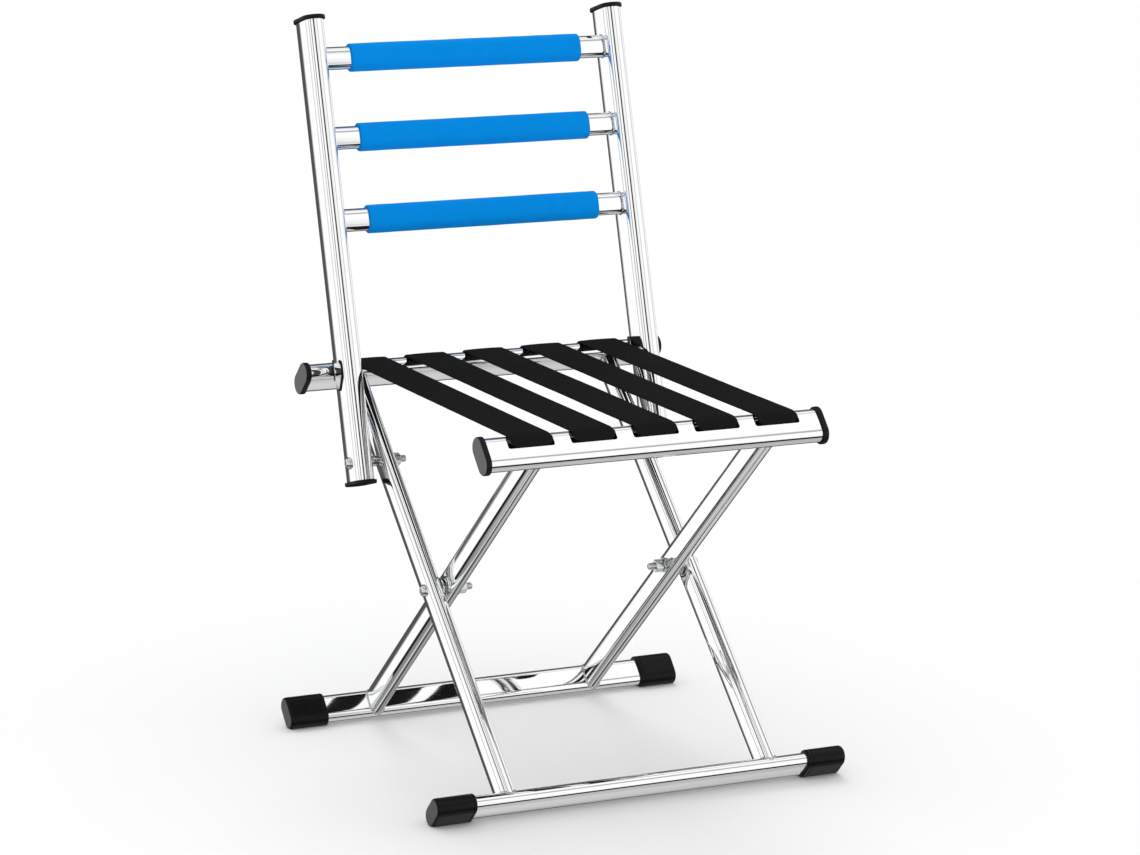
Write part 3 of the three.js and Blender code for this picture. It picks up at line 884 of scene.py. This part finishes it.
# Brightness of the set that polished metal reflects, by the angle round from the camera.
SIDE_TONES = (
    (-180, 0.08), (-133, 0.08), (-131, 1.0), (-112, 1.0), (-110, 0.5), (-101, 0.5), (-99, 1.0),
    (-66, 1.0), (-64, 0.4), (-58, 0.4), (-56, 1.0), (-41, 1.0), (-39, 0.15), (-32, 0.15), (-30, 1.0),
    (-8, 1.0), (-6, 0.05), (9, 0.05), (12, 0.85), (39, 1.0), (41, 0.55), (49, 0.55), (51, 1.0),
    (96, 1.0), (110, 0.62), (120, 0.74), (136, 1.0), (150, 1.0), (162, 0.35), (180, 0.08),
)
# The same by the height of the reflected direction, from straight down to straight up.
HEIGHT_TONES = (
    (-1.0, 0.72), (-0.90, 0.62), (-0.80, 0.45), (-0.65, 0.45), (-0.62, 0.02), (-0.37, 0.02),
    (-0.34, 1.0), (0.50, 1.0), (0.58, 0.42), (0.70, 0.42), (0.78, 1.0), (1.0, 1.0),
)


def ramp(n, stops):
    elements = n.color_ramp.elements
    while len(elements) < len(stops):
        elements.new(1.0)
    for element, (position, value) in zip(elements, stops):
        element.position = position
        element.color = (value, value, value, 1)


def reflected_set(world):
    """Softboxes and dark gaps seen only in reflections, over a plain white studio."""
    where = node(world, "ShaderNodeTexCoord")
    turn = -radians(CAMERA_AZIMUTH - 90)
    turned = node(world, "ShaderNodeVectorRotate", rotation_type="Z_AXIS", Angle=turn)
    link(world, where.outputs["Generated"], turned.inputs["Vector"])
    parts = node(world, "ShaderNodeSeparateXYZ")
    link(world, turned.outputs["Vector"], parts.inputs["Vector"])
    angle = node(world, "ShaderNodeMath", operation="ARCTAN2")
    link(world, parts.outputs["Y"], angle.inputs[0])
    link(world, parts.outputs["X"], angle.inputs[1])
    colours = []
    for source, limit, stops in (
        (angle.outputs[0], pi, [((a + 180) / 360, v) for a, v in SIDE_TONES]),
        (parts.outputs["Z"], 1.0, [((z + 1) / 2, v) for z, v in HEIGHT_TONES]),
    ):
        unit = node(world, "ShaderNodeMapRange", From_Min=-limit, From_Max=limit)
        tones = node(world, "ShaderNodeValToRGB")
        ramp(tones, stops)
        link(world, source, unit.inputs["Value"])
        link(world, unit.outputs["Result"], tones.inputs["Fac"])
        colours.append(tones.outputs["Color"])
    both = node(world, "ShaderNodeMixRGB", blend_type="MULTIPLY", Fac=1.0)
    link(world, colours[0], both.inputs["Color1"])
    link(world, colours[1], both.inputs["Color2"])
    rays = node(world, "ShaderNodeLightPath")
    backdrop = node(world, "ShaderNodeMixRGB", Color1=(*[STUDIO_FILL] * 3, 1), Color2=(1, 1, 1, 1))
    link(world, rays.outputs["Is Camera Ray"], backdrop.inputs["Fac"])
    seen = node(world, "ShaderNodeMixRGB")
    link(world, rays.outputs["Is Glossy Ray"], seen.inputs["Fac"])
    link(world, backdrop.outputs["Color"], seen.inputs["Color1"])
    link(world, both.outputs["Color"], seen.inputs["Color2"])
    return seen.outputs["Color"]


def make_light():
    world = bpy.data.worlds.new("studio")
    world.use_nodes = True
    background = world.node_tree.nodes["Background"]
    background.inputs["Strength"].default_value = STUDIO_STRENGTH
    link(world, reflected_set(world), background.inputs["Color"])
    bpy.context.scene.world = world
    data = bpy.data.lights.new("soft_sun", "SUN")
    data.energy = SUN_ENERGY
    data.angle = radians(SUN_SIZE)
    lamp = bpy.data.objects.new("soft_sun", data)
    lamp.rotation_euler = (Vector((0, 0, 0)) - SUN_FROM).to_track_quat("-Z", "Y").to_euler()
    lamp.visible_glossy = False
    bpy.context.collection.objects.link(lamp)
    bpy.context.scene.view_settings.view_transform = "Standard"


make_camera()
make_floor()
make_light()
make_frames()
make_ends()
make_hardware()
make_backrest()
make_straps()
dress_stops()
